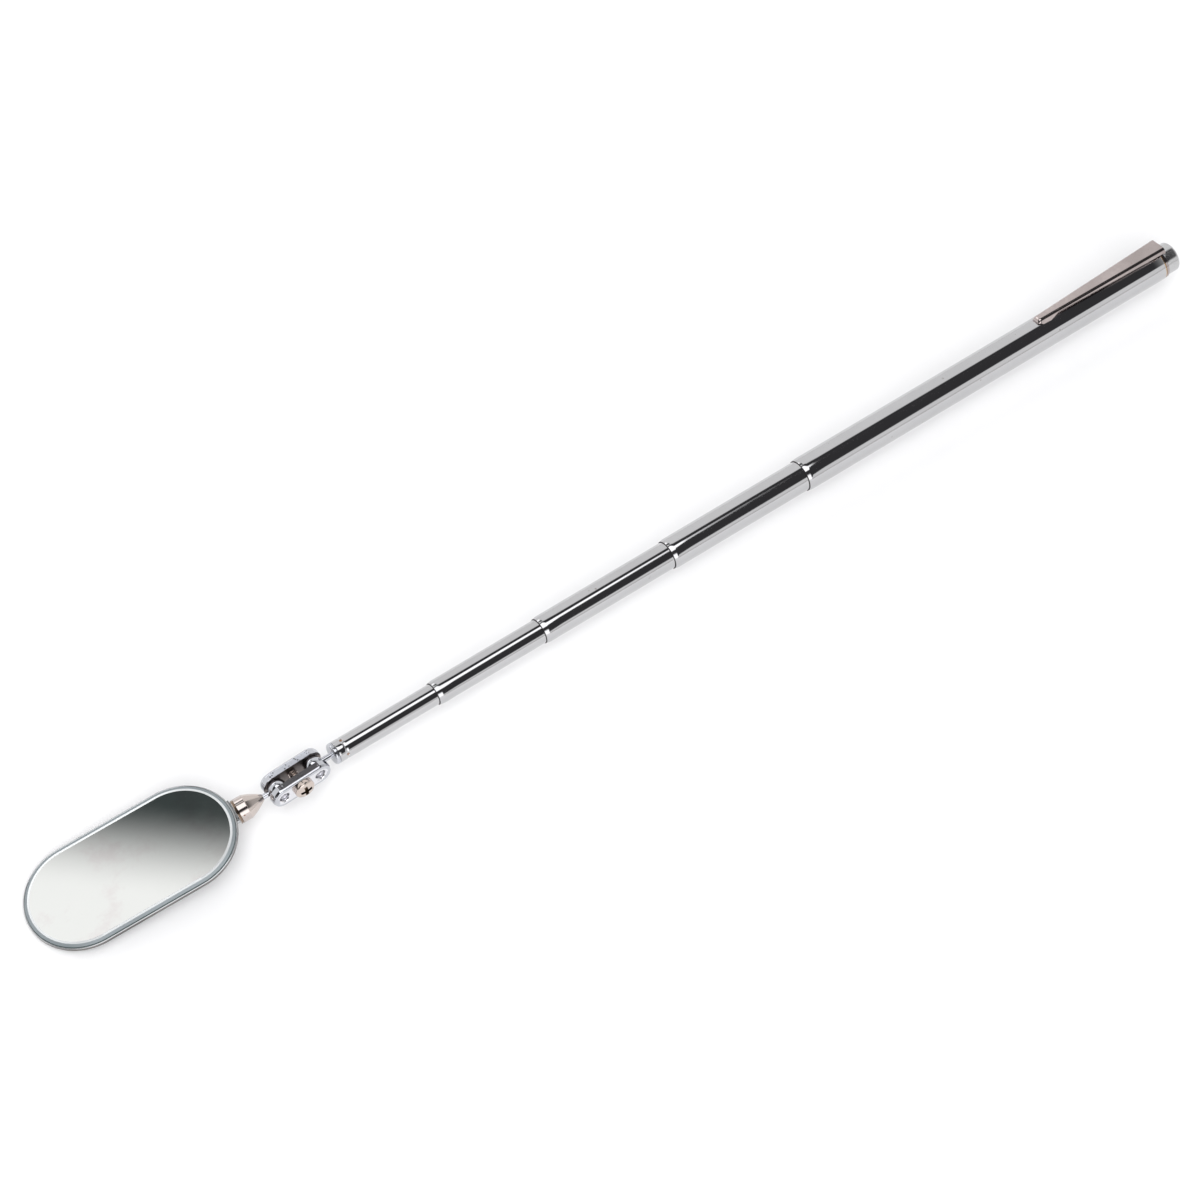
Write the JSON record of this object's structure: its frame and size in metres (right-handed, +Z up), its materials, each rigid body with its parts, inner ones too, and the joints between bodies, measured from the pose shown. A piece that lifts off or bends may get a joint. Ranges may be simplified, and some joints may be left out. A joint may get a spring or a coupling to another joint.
{
  "type": "telescoping inspection mirror",
  "caption": "Pocket inspection mirror: a slot-shaped mirror on a double ball joint at the end of a telescoping tube shaft, with a pocket clip on the barrel.",
  "frame": {"origin": "centre of the barrel, on the shaft's axis", "axes": "+X along the shaft from the mirror to the end cap, +Z up out of the mirror, +Y to the side away from the clamp screw"},
  "size_m": [0.2862, 0.0263, 0.014],
  "materials": {
    "chrome_tube": "bright chrome plating",
    "brass_bush": "machined brass",
    "nickel": "warm nickel plating",
    "bronze_sleeve": "plain spring bronze",
    "chrome_joint": "bright plating, sheared edges",
    "steel": "plain steel",
    "frame_plating": "bright plating on pressed sheet",
    "felt": "black felt",
    "mirror": "silvered glass with a ground bevel"
  },
  "bodies": {
    "barrel": {"barrel_tube": "chrome_tube", "rear_bush": "brass_bush", "pocket_clip": "nickel", "end_cap": "chrome_tube"},
    "sleeve_2_slider": {"sleeve_2": "bronze_sleeve"},
    "tube_2_section": {"tube_2": "chrome_tube"},
    "sleeve_3_slider": {"sleeve_3": "bronze_sleeve"},
    "tube_3_section": {"tube_3": "chrome_tube"},
    "sleeve_4_slider": {"sleeve_4": "bronze_sleeve"},
    "tube_4_section": {"tube_4": "chrome_tube"},
    "sleeve_5_slider": {"sleeve_5": "bronze_sleeve"},
    "tube_5_section": {"tube_5": "chrome_tube", "tube_plug": "chrome_joint", "shaft_stud": "chrome_joint"},
    "shaft_ball": {"shaft_ball": "chrome_joint"},
    "clamp": {"clamp_plate_near": "chrome_joint", "clamp_plate_far": "chrome_joint"},
    "clamp_screw": {"clamp_screw": "nickel"},
    "mirror_ball": {"mirror_ball": "chrome_joint"},
    "mirror_stud": {"mirror_stud": "chrome_joint"},
    "mirror_head": {"neck": "nickel", "swivel_plug": "steel", "back_bracket": "frame_plating", "mirror_frame": "frame_plating", "backing_pad": "felt", "mirror_glass": "mirror"}
  },
  "joints": [
    {"name": "tube_2_slide", "type": "slide", "parent": "barrel", "child": "sleeve_2_slider", "axis": [-1, 0, 0], "range_m": [-0.0325, 0.0504]},
    {"name": "tube_2_turn", "type": "hinge", "parent": "sleeve_2_slider", "child": "tube_2_section", "pos_m": [0, 0, 0], "axis": [1, 0, 0], "continuous": true},
    {"name": "tube_3_slide", "type": "slide", "parent": "tube_2_section", "child": "sleeve_3_slider", "axis": [-1, 0, 0], "range_m": [-0.0302, 0.0487]},
    {"name": "tube_3_turn", "type": "hinge", "parent": "sleeve_3_slider", "child": "tube_3_section", "pos_m": [0, 0, 0], "axis": [1, 0, 0], "continuous": true},
    {"name": "tube_4_slide", "type": "slide", "parent": "tube_3_section", "child": "sleeve_4_slider", "axis": [-1, 0, 0], "range_m": [-0.02395, 0.05095]},
    {"name": "tube_4_turn", "type": "hinge", "parent": "sleeve_4_slider", "child": "tube_4_section", "pos_m": [0, 0, 0], "axis": [1, 0, 0], "continuous": true},
    {"name": "tube_5_slide", "type": "slide", "parent": "tube_4_section", "child": "sleeve_5_slider", "axis": [-1, 0, 0], "range_m": [-0.019, 0.04935]},
    {"name": "tube_5_turn", "type": "hinge", "parent": "sleeve_5_slider", "child": "tube_5_section", "pos_m": [0, 0, 0], "axis": [1, 0, 0], "continuous": true},
    {"name": "shaft_ball_tilt", "type": "hinge", "parent": "tube_5_section", "child": "shaft_ball", "pos_m": [-0.17021, 0, 0], "axis": [0, 0.068, 0.9977], "range_deg": [-11, 11]},
    {"name": "shaft_ball_swing", "type": "hinge", "parent": "shaft_ball", "child": "clamp", "pos_m": [-0.17021, 0, 0], "axis": [0, 0.9977, -0.068], "range_deg": [-96.7, 103.3]},
    {"name": "clamp_screw_turn", "type": "hinge", "parent": "clamp", "child": "clamp_screw", "pos_m": [-0.17445, -0.00002, -0.00024], "axis": [0, -0.9977, 0.068], "range_deg": [-90, 90]},
    {"name": "mirror_ball_swing", "type": "hinge", "parent": "clamp", "child": "mirror_ball", "pos_m": [-0.1787, -0.00003, -0.00049], "axis": [0, -0.9977, 0.068], "range_deg": [-105.65, 94.35]},
    {"name": "mirror_ball_tilt", "type": "hinge", "parent": "mirror_ball", "child": "mirror_stud", "pos_m": [-0.1787, -0.00003, -0.00049], "axis": [-0.1556, 0.0672, 0.9855], "range_deg": [-4.2, 17.8]},
    {"name": "mirror_spin", "type": "hinge", "parent": "mirror_stud", "child": "mirror_head", "pos_m": [-0.1787, -0.00003, -0.00049], "axis": [-0.9809, 0.1076, -0.1622], "continuous": true}
  ]
}
